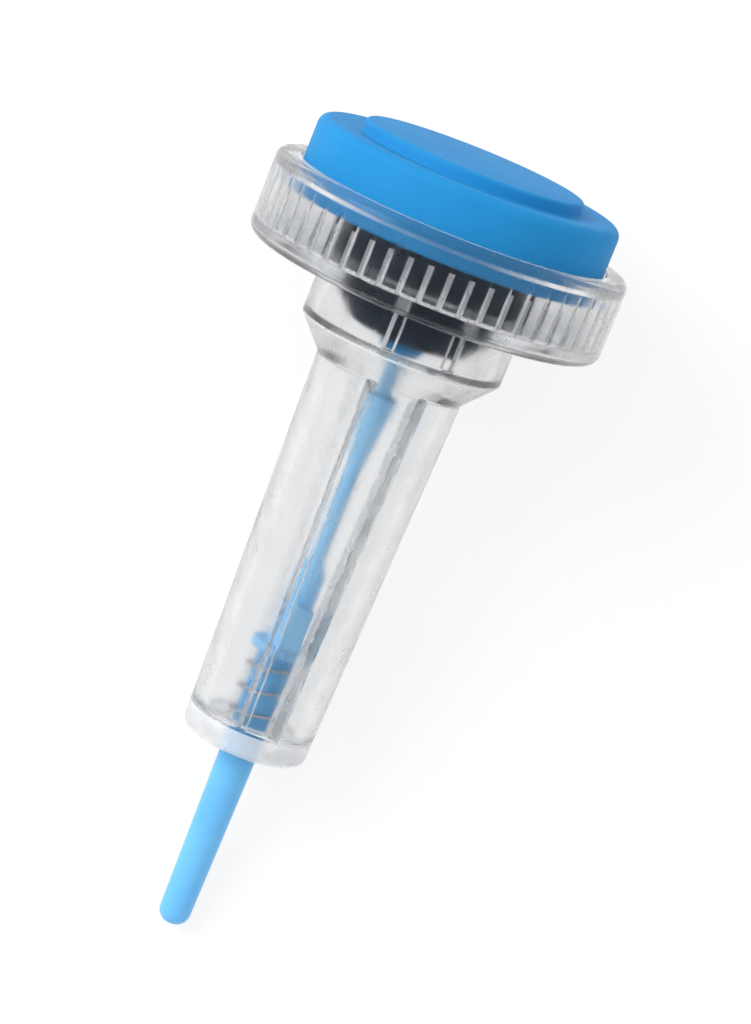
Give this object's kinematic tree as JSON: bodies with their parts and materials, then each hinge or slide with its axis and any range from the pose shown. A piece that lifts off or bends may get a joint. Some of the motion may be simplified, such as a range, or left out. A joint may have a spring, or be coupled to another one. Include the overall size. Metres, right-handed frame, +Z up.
{
  "type": "safety lancet",
  "caption": "Single-use safety lancet with a round push button, ribbed clear collar, tapered clear barrel and a slim twist-off cap over its needle.",
  "frame": {"origin": "on the floor that the lancet lies on, under the middle of its bounding box", "axes": "+X runs from the cap's tip towards the button, +Z is up; the lancet's own axis climbs towards the button by the tilt at which it rests"},
  "size_m": [0.0434, 0.019, 0.0193],
  "materials": {
    "clear_plastic": "clear moulded plastic, faintly hazy",
    "button_plastic": "satin moulded plastic",
    "black_plastic": "satin moulded plastic",
    "spring_steel": "drawn wire",
    "carrier_plastic": "moulded plastic",
    "needle_steel": "ground and polished",
    "cap_plastic": "moulded plastic, slightly glossy"
  },
  "bodies": {
    "body": {"barrel": "clear_plastic", "spring_cup": "black_plastic", "drive_spring": "spring_steel", "return_spring": "spring_steel"},
    "button": {"push_button": "button_plastic"},
    "carrier": {"needle_carrier": "carrier_plastic", "needle": "needle_steel"},
    "cap": {"twist_off_cap": "cap_plastic"}
  },
  "joints": [
    {"name": "button_press", "type": "slide", "parent": "body", "child": "button", "axis": [-0.9717, 0, -0.2362], "range_m": [0, 0.002], "stiffness_N_per_m": 300, "springref_m": -0.004, "deforming": ["drive_spring"]},
    {"name": "needle_strike", "type": "slide", "parent": "body", "child": "carrier", "axis": [-0.9717, 0, -0.2362], "range_m": [0, 0.0033], "stiffness_N_per_m": 20, "springref_m": -0.004, "deforming": ["return_spring"]},
    {"name": "cap_pull", "type": "slide", "parent": "carrier", "child": "cap", "axis": [-0.9717, 0, -0.2362], "range_m": [0, 0.012]}
  ]
}
